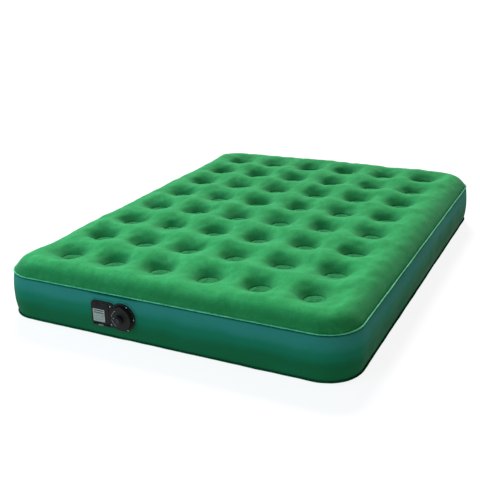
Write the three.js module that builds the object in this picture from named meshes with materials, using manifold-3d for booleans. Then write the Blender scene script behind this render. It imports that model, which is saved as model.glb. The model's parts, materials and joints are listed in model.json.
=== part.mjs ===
// A queen-size flocked air mattress with a built-in battery pump.
// Millimetres, +Z up. The origin is on the floor under the middle of the mattress:
// X runs across the bed, +Y towards the head, and the pump is in the foot wall, at -Y.
import * as THREE from "three";
import { mergeVertices } from "three/addons/utils/BufferGeometryUtils.js";
import Module from "manifold-3d";

const wasm = await Module();
wasm.setup();

// ---------------------------------------------------------------- driving dimensions
// Mattress
const SEAM_HALF_X = 743.5; // weld line between the sheets and the side wall
const SEAM_HALF_Y = 1007;
const CORNER_RADIUS = 134;
const CORNER_STEPS = 5;
const FLANGE = 8; // how far the welded edge sticks out
const TOP_SEAM_Z = 194;
const BOTTOM_SEAM_Z = 15;
const TOP_Z = 260; // crowns between the dimples
const TOP_DIMPLE = 48;
const DIMPLE_WIDTH = 60; // from the edge of a weld disc out to the crown
const DIMPLE_RING = 78; // radius of the sheet's ring of points round a disc
const BOTTOM_DIMPLE = 22;
const FOOT_RADIUS = 75; // beyond this distance from a coil the bottom lies flat
const EDGE_ROLL = 98; // width of the rounded border
const SKIN = 1;
const GAP = 0.3; // clearance between pieces that touch
const WALL_BULGE = 12;
const WALL_Y = -(SEAM_HALF_Y + WALL_BULGE); // outer face of the foot wall

// Coils: vertical tubes that tie the top sheet to the bottom sheet
const COLUMNS = 6;
const ROWS = 8;
const PITCH_X = 215;
const PITCH_Y = 230;
const WELD_RADIUS = 33;
const COIL_RADIUS = 32; // inside the flat of a weld disc
const COIL_SIDES = 6;
const TIE = { z0: 100, z1: 125, thickness: 1.2 }; // the strip along a row of coils

// Pump, in its own frame: x as above, h is the height above the floor, and d is how far a point
// stands out of the wall, so that negative d is inside the mattress.
const BAY_BOX = { x0: -288, h0: 60, x1: -183, h1: 164, corner: 20 };
const DIAL_X = -148;
const DIAL_H = 112;
const DIAL_PLATE_RADIUS = 57;
const HOUSING_INSET = 8; // from the face plate's outline to the housing's
const HOUSING_WALL = 2.5;
const BAY_DEPTH = 64;
const BLOWER_DEPTH = 89;
const PLATE = { back: 4.4, front: 8.4 };
const DOOR = { x0: -282, h0: 67, x1: -206, h1: 157, corner: 6, back: 5, front: 9.4 };
const HINGE_H = 66.4;
const HINGE_D = 11.8;
const HINGE_RADIUS = 2.6;
const PIN_RADIUS = 1.2;
const BAY = { x0: -277.5, h0: 70.5, x1: -206.5, h1: 153.5 };
const CELL_X = -242;
const CELL_SPACING = 17.3; // half the distance between two cells
const CELL_RADIUS = 16.2;
const CELL_LENGTH = 61.5;
const CHAMBER_RADIUS = DIAL_PLATE_RADIUS - HOUSING_INSET - HOUSING_WALL;
const SCREW_RADIUS = 1.5;
const SCREW_HOLE = 1.8;

// Face screws as [x, h, length of the shank behind the plate]
const RIM_SCREW = DIAL_PLATE_RADIUS - 4;
const rimScrew = (degrees) => {
  const a = THREE.MathUtils.degToRad(degrees);
  return [DIAL_X + RIM_SCREW * Math.cos(a), DIAL_H + RIM_SCREW * Math.sin(a), 16];
};
const FACE_SCREWS = [
  [-197.5, 150, 24],
  [-197.5, 74, 24],
  rimScrew(62),
  rimScrew(0),
  rimScrew(-62),
];

// ---------------------------------------------------------------- materials
const material = (color, roughness, metalness = 0) =>
  new THREE.MeshStandardMaterial({ color, roughness, metalness });

const flock = () => material(0x2f8f5a, 0.95);
const vinyl = () => material(0x1c6a5c, 0.4);
const bead = () => material(0x4ba06f, 0.55);
const coilVinyl = () => material(0x2f6e58, 0.6);
const blackPlastic = () => material(0x14140f, 0.45);
const greyPlastic = () => material(0x3a3c3a, 0.55);
const steel = () => material(0xb4b6b8, 0.35, 1);
const brass = () => material(0xb8923a, 0.35, 1);
const seal = () => material(0x1b1b1b, 0.8);
const paper = () => material(0x9fb0a4, 0.7);

// ---------------------------------------------------------------- solids
// A closed three.js geometry as a solid that can be joined and cut.
function solid(geometry) {
  const bare = geometry.clone();
  bare.deleteAttribute("normal");
  bare.deleteAttribute("uv");
  const merged = mergeVertices(bare, 1e-4);
  return new wasm.Manifold(
    new wasm.Mesh({
      numProp: 3,
      vertProperties: merged.attributes.position.array,
      triVerts: new Uint32Array(merged.index.array),
    }),
  );
}

const join = (...pieces) => pieces.reduce((a, b) => a.add(b));
const cut = (base, ...tools) => tools.reduce((a, b) => a.subtract(b), base);

function geometryOf(manifold) {
  const mesh = manifold.getMesh();
  const geometry = new THREE.BufferGeometry();
  geometry.setAttribute("position", new THREE.BufferAttribute(mesh.vertProperties, 3));
  geometry.setIndex(new THREE.BufferAttribute(mesh.triVerts, 1));
  return geometry.toNonIndexed();
}

// Adds a named piece to a group. The shape is a geometry or a solid.
function piece(group, name, shape, finish) {
  const geometry = shape.isBufferGeometry ? shape : geometryOf(shape);
  geometry.computeVertexNormals();
  const mesh = new THREE.Mesh(geometry, finish);
  mesh.name = name;
  group.add(mesh);
  return mesh;
}

// A shape in the x-h plane, from depth d0 to d1.
function slab(shape, d0, d1, curveSegments = 4) {
  const options = { depth: d1 - d0, bevelEnabled: false, curveSegments };
  return solid(new THREE.ExtrudeGeometry(shape, options).translate(0, 0, d0));
}

function roundedRect(x0, h0, x1, h1, r) {
  const shape = new THREE.Shape();
  shape.absarc(x1 - r, h1 - r, r, 0, Math.PI / 2);
  shape.absarc(x0 + r, h1 - r, r, Math.PI / 2, Math.PI);
  shape.absarc(x0 + r, h0 + r, r, Math.PI, 1.5 * Math.PI);
  shape.absarc(x1 - r, h0 + r, r, 1.5 * Math.PI, 2 * Math.PI);
  shape.closePath();
  return shape;
}

function box(x0, h0, d0, x1, h1, d1) {
  const g = new THREE.BoxGeometry(x1 - x0, h1 - h0, d1 - d0);
  return solid(g.translate((x0 + x1) / 2, (h0 + h1) / 2, (d0 + d1) / 2));
}

// A round bar along d.
function bar(r, d0, d1, x = 0, h = 0, sides = 24) {
  const g = new THREE.CylinderGeometry(r, r, d1 - d0, sides).rotateX(Math.PI / 2);
  return solid(g.translate(x, h, (d0 + d1) / 2));
}

// A round bar along x.
function crossBar(r, x0, x1, h, d, sides = 16) {
  const g = new THREE.CylinderGeometry(r, r, x1 - x0, sides).rotateZ(Math.PI / 2);
  return solid(g.translate((x0 + x1) / 2, h, d));
}

// A profile of [radius, d] points turned about the d axis.
function turned(profile, segments = 24) {
  const points = profile.map(([r, d]) => new THREE.Vector2(r, d));
  return solid(new THREE.LatheGeometry(points, segments).rotateX(Math.PI / 2));
}

// The same solid repeated evenly round the d axis.
function around(shape, count, startDegrees = 0) {
  const copies = [];
  for (let i = 0; i < count; i++) {
    copies.push(shape.rotate([0, 0, startDegrees + (360 * i) / count]));
  }
  return join(...copies);
}

// A wire of radius r through a list of [x, h, d] points.
function wire(points, r, steps, sides = 5) {
  const path = new THREE.CatmullRomCurve3(points.map((p) => new THREE.Vector3(...p)));
  const section = new THREE.Shape();
  for (let i = 0; i < sides; i++) {
    const a = (2 * Math.PI * i) / sides;
    const go = i ? section.lineTo : section.moveTo;
    go.call(section, r * Math.cos(a), r * Math.sin(a));
  }
  section.closePath();
  return new THREE.ExtrudeGeometry(section, { steps, extrudePath: path, bevelEnabled: false });
}

// ---------------------------------------------------------------- mattress shapes
// How far a point is inside the weld line.
function insideSeam(x, y) {
  const cx = Math.abs(x) - (SEAM_HALF_X - CORNER_RADIUS);
  const cy = Math.abs(y) - (SEAM_HALF_Y - CORNER_RADIUS);
  const outside = Math.hypot(Math.max(cx, 0), Math.max(cy, 0));
  return CORNER_RADIUS - outside - Math.min(Math.max(cx, cy), 0);
}

// How far a point is from the nearest coil's centre.
function fromCoil(x, y) {
  const nearest = (v, pitch, count) => {
    const last = (count - 1) / 2;
    const i = Math.round(v / pitch + last);
    return v - (Math.min(Math.max(i, 0), count - 1) - last) * pitch;
  };
  return Math.hypot(nearest(x, PITCH_X, COLUMNS), nearest(y, PITCH_Y, ROWS));
}

const smooth = (t) => 0.5 + 0.5 * Math.cos(Math.PI * Math.min(Math.max(t, 0), 1));
const roll = (x, y) => Math.sin((Math.PI / 2) * Math.min(insideSeam(x, y) / EDGE_ROLL, 1));

function topHeight(x, y) {
  const dimple = TOP_DIMPLE * smooth((fromCoil(x, y) - WELD_RADIUS) / DIMPLE_WIDTH);
  return TOP_SEAM_Z + (TOP_Z - TOP_SEAM_Z) * roll(x, y) - dimple;
}

function bottomHeight(x, y) {
  const t = (fromCoil(x, y) - WELD_RADIUS) / (FOOT_RADIUS - WELD_RADIUS);
  return BOTTOM_SEAM_Z * (1 - roll(x, y)) + BOTTOM_DIMPLE * smooth(t);
}

// Points on a rounded rectangle, anticlockwise from the -Y end of the +X side.
// grow moves the outline outward.
function seamOutline(grow) {
  const points = [];
  const corners = [[1, -1, -90], [1, 1, 0], [-1, 1, 90], [-1, -1, 180]];
  for (const [sx, sy, start] of corners) {
    for (let i = 0; i <= CORNER_STEPS; i++) {
      const a = THREE.MathUtils.degToRad(start + (90 * i) / CORNER_STEPS);
      const cx = sx * (SEAM_HALF_X - CORNER_RADIUS);
      const cy = sy * (SEAM_HALF_Y - CORNER_RADIUS);
      const r = CORNER_RADIUS + grow;
      points.push([cx + r * Math.cos(a), cy + r * Math.sin(a)]);
    }
  }
  return points;
}

// Triangles in plan, as lists of three [x, y] points, for a sheet with a disc at each coil, one
// ring round the disc, and a rolled border; and the loop of points along the weld line.
function quiltPlan(sides, ringRadius) {
  const triangles = [];
  const distance2 = (p, q) => (p[0] - q[0]) ** 2 + (p[1] - q[1]) ** 2;
  // Fills the band between two loops, taking the shorter diagonal at each step.
  const band = (inner, outer) => {
    let i = 0;
    let j = 0;
    while (i + 1 < inner.length || j + 1 < outer.length) {
      const moveInner =
        j + 1 === outer.length ||
        (i + 1 < inner.length &&
          distance2(inner[i + 1], outer[j]) < distance2(inner[i], outer[j + 1]));
      if (moveInner) {
        triangles.push([inner[i], outer[j], inner[i + 1]]);
        i += 1;
      } else {
        triangles.push([inner[i], outer[j], outer[j + 1]]);
        j += 1;
      }
    }
  };
  const hx = PITCH_X / 2;
  const hy = PITCH_Y / 2;
  const corners = [[1, -1], [1, 1], [-1, 1], [-1, -1], [1, -1]];
  for (let row = 0; row < ROWS; row++) {
    for (let column = 0; column < COLUMNS; column++) {
      const cx = (column - (COLUMNS - 1) / 2) * PITCH_X;
      const cy = (row - (ROWS - 1) / 2) * PITCH_Y;
      // Each loop starts at the lower right corner of the cell.
      const ring = (r) =>
        [...Array(sides + 1).keys()].map((i) => {
          const a = (2 * Math.PI * (i % sides)) / sides - Math.PI / 4;
          return [cx + r * Math.cos(a), cy + r * Math.sin(a)];
        });
      const disc = ring(WELD_RADIUS);
      const edge = corners.map(([u, v]) => [cx + u * hx, cy + v * hy]);
      for (let i = 1; i + 1 < sides; i++) triangles.push([disc[0], disc[i], disc[i + 1]]);
      band(disc, ring(ringRadius));
      band(ring(ringRadius), edge);
    }
  }
  // The border, from the edge of the quilted field to the weld line
  const weld = seamOutline(0);
  const field = [];
  for (let k = 0; k < 4; k++) {
    const [u, v] = corners[k];
    const [u1, v1] = corners[k + 1];
    const cells = k % 2 === 0 ? ROWS : COLUMNS;
    for (let i = 0; i < cells; i++) {
      const t = i / cells;
      field.push([COLUMNS * hx * (u + (u1 - u) * t), ROWS * hy * (v + (v1 - v) * t)]);
    }
  }
  field.push(field[0]);
  const middle = (CORNER_STEPS + 1) / 2;
  const outline = [...weld.slice(middle), ...weld.slice(0, middle + 1)];
  band(field, outline);
  return { triangles, outline };
}

// A thin sheet over a plan: its lower face is at height(x, y), its upper face SKIN above.
function quiltedSheet(plan, height) {
  const positions = [];
  const vertex = ([x, y], lift) => positions.push(x, y, height(x, y) + lift);
  for (const [a, b, c] of plan.triangles) {
    for (const p of [a, b, c]) vertex(p, SKIN);
    for (const p of [a, c, b]) vertex(p, 0);
  }
  for (let i = 0; i + 1 < plan.outline.length; i++) {
    const [p, q] = [plan.outline[i], plan.outline[i + 1]];
    vertex(p, 0);
    vertex(q, 0);
    vertex(q, SKIN);
    vertex(p, 0);
    vertex(q, SKIN);
    vertex(p, SKIN);
  }
  const geometry = new THREE.BufferGeometry();
  geometry.setAttribute("position", new THREE.Float32BufferAttribute(positions, 3));
  return geometry;
}

// A closed section of [outward, z] points, anticlockwise, carried round the weld line.
function seamRing(section) {
  const loops = section.map(([grow, z]) => seamOutline(grow).map(([x, y]) => [x, y, z]));
  const positions = [];
  loops.forEach((loop, s) => {
    const next = loops[(s + 1) % loops.length];
    loop.forEach((p, i) => {
      const j = (i + 1) % loop.length;
      positions.push(...p, ...loop[j], ...next[j], ...p, ...next[j], ...next[i]);
    });
  });
  const geometry = new THREE.BufferGeometry();
  geometry.setAttribute("position", new THREE.Float32BufferAttribute(positions, 3));
  return geometry;
}

// ---------------------------------------------------------------- pump shapes
// The outline of the pump's face, a rounded box joined to a disc, moved inward by inset.
function faceOutline(inset, d0, d1) {
  const { x0, h0, x1, h1, corner } = BAY_BOX;
  const bay = roundedRect(x0 + inset, h0 + inset, x1 - inset, h1 - inset, corner - inset);
  const radius = DIAL_PLATE_RADIUS - inset;
  return join(slab(bay, d0, d1), bar(radius, d0, d1, DIAL_X, DIAL_H, 32));
}

function screwHoles(screws) {
  return join(...screws.map(([x, h]) => bar(SCREW_HOLE, -20, 12, x, h, 8)));
}

// ================================================================ the model
const airMattress = new THREE.Group();

// ---------------------------------------------------------------- air chamber
function addMattress(group) {
  const underTop = (x, y) => topHeight(x, y) - SKIN;
  piece(group, "top_sheet", quiltedSheet(quiltPlan(8, DIMPLE_RING), underTop), flock());
  piece(group, "bottom_sheet", quiltedSheet(quiltPlan(8, FOOT_RADIUS), bottomHeight), vinyl());

  const wallTop = TOP_SEAM_Z - SKIN - 2 * GAP;
  const wallBottom = BOTTOM_SEAM_Z + SKIN + 2 * GAP;
  const profile = [
    [0, wallBottom], [9, 34], [WALL_BULGE, 62], [WALL_BULGE, 152], [9.5, 179], [0, wallTop],
  ];
  const inner = profile.map(([grow, z]) => [grow - SKIN, z]).reverse();
  const wall = seamRing([...profile, ...inner]);
  const opening = faceOutline(HOUSING_INSET - 0.5, -20, 10)
    .add(screwHoles(FACE_SCREWS.slice(2)))
    .rotate([90, 0, 0])
    .translate([0, WALL_Y, 0]);
  piece(group, "side_wall", cut(solid(wall), opening), vinyl());

  const weld = (z) => [
    [GAP, z - 1.4], [FLANGE - 2, z - 1.4], [FLANGE, z], [FLANGE - 2, z + 1.4], [GAP, z + 1.4],
  ];
  piece(group, "top_seam_bead", seamRing(weld(TOP_SEAM_Z + 0.2)), bead());
  piece(group, "bottom_seam_bead", seamRing(weld(BOTTOM_SEAM_Z)), vinyl());
}

// One row of coils across the bed. A thin strip ties the row's six tubes together.
function addCoilRows(group) {
  const low = BOTTOM_DIMPLE + SKIN + GAP;
  const high = TOP_Z - TOP_DIMPLE - SKIN - GAP;
  const tube = (r, z0, z1, x) => {
    const g = new THREE.CylinderGeometry(r, r, z1 - z0, COIL_SIDES);
    return solid(g.rotateX(Math.PI / 2).translate(x, 0, (z0 + z1) / 2));
  };
  const columns = [...Array(COLUMNS).keys()].map((i) => (i - (COLUMNS - 1) / 2) * PITCH_X);
  const reach = columns[COLUMNS - 1];
  const tie = box(-reach, -TIE.thickness / 2, TIE.z0, reach, TIE.thickness / 2, TIE.z1);
  const outer = columns.map((x) => tube(COIL_RADIUS, low, high, x));
  const bores = columns.map((x) => tube(COIL_RADIUS - SKIN, low - 1, high + 1, x));
  const row = cut(join(tie, ...outer), ...bores);
  for (let i = 0; i < ROWS; i++) {
    const mesh = piece(group, `coil_row_${i + 1}`, row, coilVinyl());
    mesh.position.y = (i - (ROWS - 1) / 2) * PITCH_Y;
  }
}

// ---------------------------------------------------------------- pump casing
function addCasing(pump) {
  const { back, front } = PLATE;
  const rimScrews = screwHoles(FACE_SCREWS.slice(2));
  const housingHole = (d0, d1) => faceOutline(HOUSING_INSET - 0.4, d0, d1);

  const collar = cut(faceOutline(-7, 0.3, 2.3), housingHole(0, 3), rimScrews);
  piece(pump, "pump_collar", collar, vinyl());
  const gasket = cut(faceOutline(1, 2.6, 4.1), housingHole(2, 5), rimScrews);
  piece(pump, "face_gasket", gasket, seal());

  // Face plate, with the lugs of the door hinge
  const lug = (x0, x1) =>
    join(
      crossBar(HINGE_RADIUS, x0, x1, HINGE_H, HINGE_D, 12),
      box(x0, HINGE_H - HINGE_RADIUS, front - 0.5, x1, HINGE_H + 1.5, HINGE_D),
    );
  const doorway = roundedRect(DOOR.x0 - 0.5, DOOR.h0 - 0.5, DOOR.x1 + 0.5, DOOR.h1 + 0.5, 6);
  const inletSlot = box(31, -1.7, back - 1, 42, 1.7, front + 1);
  const plate = cut(
    faceOutline(0, back, front),
    slab(doorway, back - 1, front + 1),
    bar(18.2, back - 1, front + 1, DIAL_X, DIAL_H),
    around(inletSlot, 10, 18).translate([DIAL_X, DIAL_H, 0]),
    screwHoles(FACE_SCREWS),
  );
  const lugs = cut(
    join(lug(-279, -273), lug(-215, -209)),
    crossBar(PIN_RADIUS + GAP, -290, -200, HINGE_H, HINGE_D, 12),
    box(-290, DOOR.h0 - 0.5, back, -200, HINGE_H + 10, front),
  );
  piece(pump, "face_plate", join(plate, lugs), blackPlastic());

  // Housing: the battery bay and the blower chamber, open at the front
  const bayShell = roundedRect(
    BAY_BOX.x0 + HOUSING_INSET, BAY_BOX.h0 + HOUSING_INSET,
    BAY_BOX.x1 - HOUSING_INSET, BAY_BOX.h1 - HOUSING_INSET, BAY_BOX.corner - HOUSING_INSET,
  );
  const rim = back - GAP;
  const flange = cut(faceOutline(1, -6.5, -4), screwHoles(FACE_SCREWS.slice(2)));
  const shell = join(
    slab(bayShell, -BAY_DEPTH - HOUSING_WALL, rim),
    bar(CHAMBER_RADIUS + HOUSING_WALL, -BLOWER_DEPTH - HOUSING_WALL, rim, DIAL_X, DIAL_H, 32),
    flange,
  );
  const flapLug = (x) => box(x - 1.5, DIAL_H - 17, -98, x + 1.5, DIAL_H - 11, -BLOWER_DEPTH - 1);
  const flapLugs = join(flapLug(DIAL_X - 13.5), flapLug(DIAL_X + 13.5));
  const housing = cut(
    join(shell, flapLugs),
    box(BAY.x0, BAY.h0, -BAY_DEPTH, BAY.x1, BAY.h1, rim + 1),
    bar(CHAMBER_RADIUS, -BLOWER_DEPTH, rim + 1, DIAL_X, DIAL_H, 32),
    bar(11, -BLOWER_DEPTH - 4, -BLOWER_DEPTH + 1, DIAL_X, DIAL_H - 31, 16),
    crossBar(1.3, DIAL_X - 20, DIAL_X + 20, DIAL_H - 14, -94.5, 12),
    crossBar(1.9, -210, -185, DIAL_H - 16.5, -59, 8),
    crossBar(1.9, -210, -185, DIAL_H + 17.5, -59, 8),
    ...FACE_SCREWS.slice(0, 2).map(([x, h]) => bar(SCREW_HOLE, -20, rim + 1, x, h, 8)),
  );
  piece(pump, "pump_housing", housing, blackPlastic());

  FACE_SCREWS.forEach(([x, h, length], i) => {
    const seat = front + GAP;
    const profile = [
      [0, seat - length], [SCREW_RADIUS, seat - length + 1.5], [SCREW_RADIUS, seat],
      [2.5, seat], [2.5, seat + 0.9], [1.6, seat + 1.6], [0, seat + 1.6],
    ];
    const mesh = piece(pump, `face_screw_${i + 1}`, turned(profile, 8), steel());
    mesh.position.set(x, h, 0);
  });
}

// ---------------------------------------------------------------- battery door and cells
function addBatteryBay(pump) {
  const { x0, h0, x1, h1, corner, back, front } = DOOR;
  const knuckle = (k0, k1) =>
    join(
      crossBar(HINGE_RADIUS, k0, k1, HINGE_H, HINGE_D, 12),
      box(k0, HINGE_H - 0.6, PLATE.front + 0.5, k1, HINGE_H + 4.5, HINGE_D),
    );
  const lugRoom = (k0, k1) => box(k0 - 0.7, h0 - 1, PLATE.front - 6, k1 + 0.7, h0 + 3.4, 16);
  const door = cut(
    join(
      slab(roundedRect(x0, h0, x1, h1, corner), back, front - 0.8),
      slab(roundedRect(x0 + 0.7, h0 + 0.7, x1 - 0.7, h1 - 0.7, corner), front - 0.8, front),
      knuckle(-272.3, -256),
      knuckle(-232, -215.7),
    ),
    lugRoom(-279, -273),
    lugRoom(-215, -209),
    crossBar(PIN_RADIUS + GAP, x0, x1, HINGE_H, HINGE_D, 12),
    slab(roundedRect(-256, h1 - 9, -232, h1 + 6, 4), front - 1.8, front + 1),
  );
  piece(pump, "battery_door", door, blackPlastic());
  piece(pump, "door_hinge_pin", crossBar(PIN_RADIUS, -279.5, -208.5, HINGE_H, HINGE_D, 10), steel());
  piece(pump, "door_label", slab(roundedRect(-278.5, 78.5, -225.5, 130, 2), front + GAP, 10.2, 2), paper());

  // Four cells in series: the upper row and the lower row point opposite ways in each column.
  const can = [
    [0, 0], [CELL_RADIUS - 1, 0], [CELL_RADIUS, 1], [CELL_RADIUS, 59],
    [CELL_RADIUS - 1, 60], [4.7, 60], [4.7, CELL_LENGTH], [0, CELL_LENGTH],
  ];
  const bayFloor = -BAY_DEPTH + GAP;
  const cells = [
    { side: 1, level: 1, outward: false },
    { side: -1, level: 1, outward: true },
    { side: -1, level: -1, outward: false },
    { side: 1, level: -1, outward: true },
  ];
  cells.forEach(({ side, level, outward }, i) => {
    const cell = piece(pump, `battery_${i + 1}`, turned(can, 12), brass());
    const x = CELL_X + side * CELL_SPACING;
    const h = DIAL_H + level * CELL_SPACING;
    // A cell that points inward rests on the bay's contact, and the door's spring is behind it.
    cell.position.set(x, h, outward ? bayFloor + 6 : bayFloor + 0.9 + CELL_LENGTH);
    cell.rotation.x = outward ? 0 : Math.PI;
    const springFoot = outward ? bayFloor + 1 : bayFloor + 1.2 + CELL_LENGTH;
    const spring = piece(pump, `cell_spring_${i + 1}`, cellSpring(), steel());
    spring.position.set(x, h, springFoot);
  });

  const strip = (h, halfHeight, d) =>
    slab(roundedRect(CELL_X - 25, h - halfHeight, CELL_X + 25, h + halfHeight, 3), d, d + 0.5, 2);
  piece(pump, "door_contact_upper", strip(DIAL_H + CELL_SPACING, 7, 4.2), brass());
  piece(pump, "door_contact_lower", strip(DIAL_H - CELL_SPACING, 7, 4.2), brass());
  const pad = (x, low, high) =>
    slab(roundedRect(x - 8, low, x + 8, high, 3), bayFloor, bayFloor + 0.6, 2);
  const right = CELL_X + CELL_SPACING;
  piece(pump, "bay_contact_positive", pad(right, DIAL_H + 9, DIAL_H + 26), brass());
  piece(pump, "bay_contact_negative", pad(right, DIAL_H - 26, DIAL_H - 9), brass());
  piece(pump, "bay_contact_bridge", pad(CELL_X - CELL_SPACING, DIAL_H - 26, DIAL_H + 26), brass());
}

// A short conical spring, standing on d = 0.
function cellSpring() {
  const turns = 2.5;
  const steps = 14;
  const points = [];
  for (let i = 0; i <= steps; i++) {
    const t = i / steps;
    const r = 7 - 2.5 * t;
    const a = 2 * Math.PI * turns * t;
    points.push([r * Math.cos(a), r * Math.sin(a), 0.5 + 2.9 * t]);
  }
  return wire(points, 0.45, steps, 4);
}

// ---------------------------------------------------------------- dial, valve and switch
function addDial(pump) {
  const dialGroup = new THREE.Group();
  dialGroup.position.set(DIAL_X, DIAL_H, 0);
  pump.add(dialGroup);
  const seat = PLATE.front + GAP;

  // The dial: a hollow cap with a tall hub, and a neck that goes in through the face plate
  const profile = [
    [46.8, seat], [49, seat], [47.3, 21.8], [45.3, 23.8], [18, 23.8], [16.5, 37], [15, 38.5],
    [11.9, 38.5], [11.9, 12], [5, 12], [5, 10], [14.5, 10], [14.5, -6], [17.7, -6],
    [17.7, 21], [44, 21], [46.8, seat],
  ];
  const airSlot = box(44, -1.3, seat + 1.2, 52, 1.3, seat + 7);
  piece(dialGroup, "dial", cut(turned(profile, 28), around(airSlot, 12)), blackPlastic());
  const sealRing = [[21, seat], [23, seat], [23, seat + 1.8], [21, seat + 1.8], [21, seat]];
  piece(dialGroup, "dial_seal", turned(sealRing, 16), seal());

  // The push button in the hub, with its stem and return spring
  const button = [
    [0, -11], [3.5, -11], [3.5, 36], [9.6, 36], [9.6, 16], [11.5, 16],
    [11.5, 39.5], [10.2, 41.5], [6, 42], [0, 42],
  ];
  piece(dialGroup, "power_button", turned(button, 16), greyPlastic());
  const coil = [];
  const steps = 30;
  for (let i = 0; i <= steps; i++) {
    const a = (2 * Math.PI * 5 * i) / steps;
    coil.push([6.5 * Math.cos(a), 6.5 * Math.sin(a), 12.8 + (22.3 * i) / steps]);
  }
  piece(dialGroup, "button_spring", wire(coil, 0.45, steps, 4), steel());

  // The valve: a drum on the dial's neck turns inside a sleeve fixed to the face plate.
  // Their windows face each other when the dial is turned an eighth of a turn either way.
  const windows = join(box(-40, -8, -20, 40, 8, -6), box(-8, -40, -20, 8, 40, -6));
  const drumProfile = [
    [18, 1], [24, 1], [24, -24], [27, -24], [27, 3.8], [18, 3.8], [18, 1],
  ];
  piece(dialGroup, "valve_drum", cut(turned(drumProfile, 24), windows), greyPlastic());
  const sleeveProfile = [[27.4, -24], [29.4, -24], [29.4, 4.1], [27.4, 4.1], [27.4, -24]];
  const sleeve = cut(turned(sleeveProfile, 24), windows.rotate([0, 0, 45]));
  piece(dialGroup, "valve_sleeve", sleeve, greyPlastic());
  piece(dialGroup, "switch_bracket", box(-30, -4, -26.7, 30, 4, -25.2), steel());
  piece(dialGroup, "power_switch", box(-6.5, -5, -24.9, 6.5, 5, -14.9), blackPlastic());
}

// ---------------------------------------------------------------- blower
function addBlower(pump) {
  const blower = new THREE.Group();
  blower.position.set(DIAL_X, DIAL_H, 0);
  pump.add(blower);
  const radius = CHAMBER_RADIUS - 0.4;

  // Notches in the rim let the two switch leads past.
  const notch = box(radius - 4.5, -2.2, -60, radius + 2, 2.2, -20);
  const notches = join(notch.rotate([0, 0, 90]), notch.rotate([0, 0, 198]));
  const cover = [[19, -29], [radius, -29], [radius, -27], [19, -27], [19, -29]];
  piece(blower, "blower_cover", cut(turned(cover, 28), notches), greyPlastic());
  const scroll = [
    [4, -54], [radius, -54], [radius, -29.3], [radius - 2.4, -29.3],
    [radius - 2.4, -52], [4, -52], [4, -54],
  ];
  const outlets = around(bar(3.2, -56, -50, 38.5, 0, 8), 6, 30);
  piece(blower, "blower_scroll", cut(turned(scroll, 28), outlets, notches), greyPlastic());

  const blade = box(7, 3.2, -48.5, 33, 4.8, -33);
  const wheel = [
    [1.8, -50], [34, -50], [34, -48], [8, -48], [6, -33], [1.8, -33], [1.8, -50],
  ];
  piece(blower, "impeller", join(turned(wheel, 24), around(blade, 7)), greyPlastic());
  piece(blower, "motor_shaft", bar(SCREW_RADIUS, -56.7, -34, 0, 0, 10), steel());

  const motor = [
    [0, -87], [6, -87], [6, -85], [14.5, -85], [16, -83.5], [16, -58.5], [14.5, -57], [0, -57],
  ];
  piece(blower, "motor", turned(motor, 20), steel());
  const arms = box(-radius + 1, -5, -70, radius - 1, 5, -66);
  const clamp = cut(join(bar(19.5, -70, -66), arms), bar(16.3, -71, -65));
  piece(blower, "motor_clamp", clamp, greyPlastic());

  // Check flap over the outlet at the back of the housing
  const flap = cut(
    join(
      bar(14, -93.6, -91.9, 0, -31, 24),
      box(-10, -20, -93.6, 10, -14, -91.9),
      crossBar(2.3, -10, 10, -14, -94.5, 12),
    ),
    crossBar(1.3, -20, 20, -14, -94.5, 12),
  );
  piece(blower, "check_flap", flap, seal());
  piece(blower, "flap_pin", crossBar(1, -15, 15, -14, -94.5, 10), steel());

  // Leads: battery to switch, switch to motor, motor back to battery
  const positive = [
    [-57.6, -16.5, -59], [-50, -16.5, -59], [-43.5, -16.4, -59], [-41.6, -14.6, -57.4],
    [-42.7, -13.9, -52], [-42.7, -13.9, -30], [-41.4, -13.5, -26.1], [-36, -12.5, -25.4],
    [-15, -11, -25.4], [-5, -10.5, -23.4], [-3, -6.4, -20],
  ];
  const switched = [
    [3, 6.4, -20], [3, 10, -23], [1, 16, -25.4], [0, 37, -25.4], [0, 43.6, -26.2],
    [0, 44.9, -31], [0, 44.9, -54], [0, 40, -66], [0, 24, -84], [0, 9, -87.8],
  ];
  const negative = [
    [-57.6, 17.5, -59], [-50, 17.5, -59], [-43, 17.4, -59.2], [-36, 14.5, -70],
    [-26, 9, -82], [-16, 4, -87.3], [-7.4, 0, -86.3],
  ];
  piece(blower, "lead_battery_switch", wire(positive, 0.8, 18), material(0xa02020, 0.5));
  piece(blower, "lead_switch_motor", wire(switched, 0.8, 18), material(0xa02020, 0.5));
  piece(blower, "lead_motor_battery", wire(negative, 0.8, 12), material(0x181818, 0.5));
}

addMattress(airMattress);
addCoilRows(airMattress);

// The pump's frame stands in the foot wall: its h axis is +Z and its d axis is -Y.
const pump = new THREE.Group();
pump.position.y = WALL_Y;
pump.rotation.x = Math.PI / 2;
airMattress.add(pump);
addCasing(pump);
addBatteryBay(pump);
addDial(pump);
addBlower(pump);

export default airMattress;
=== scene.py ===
import json
import math

import bmesh
import bpy
import numpy as np
from mathutils import Euler, Matrix, Vector


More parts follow.
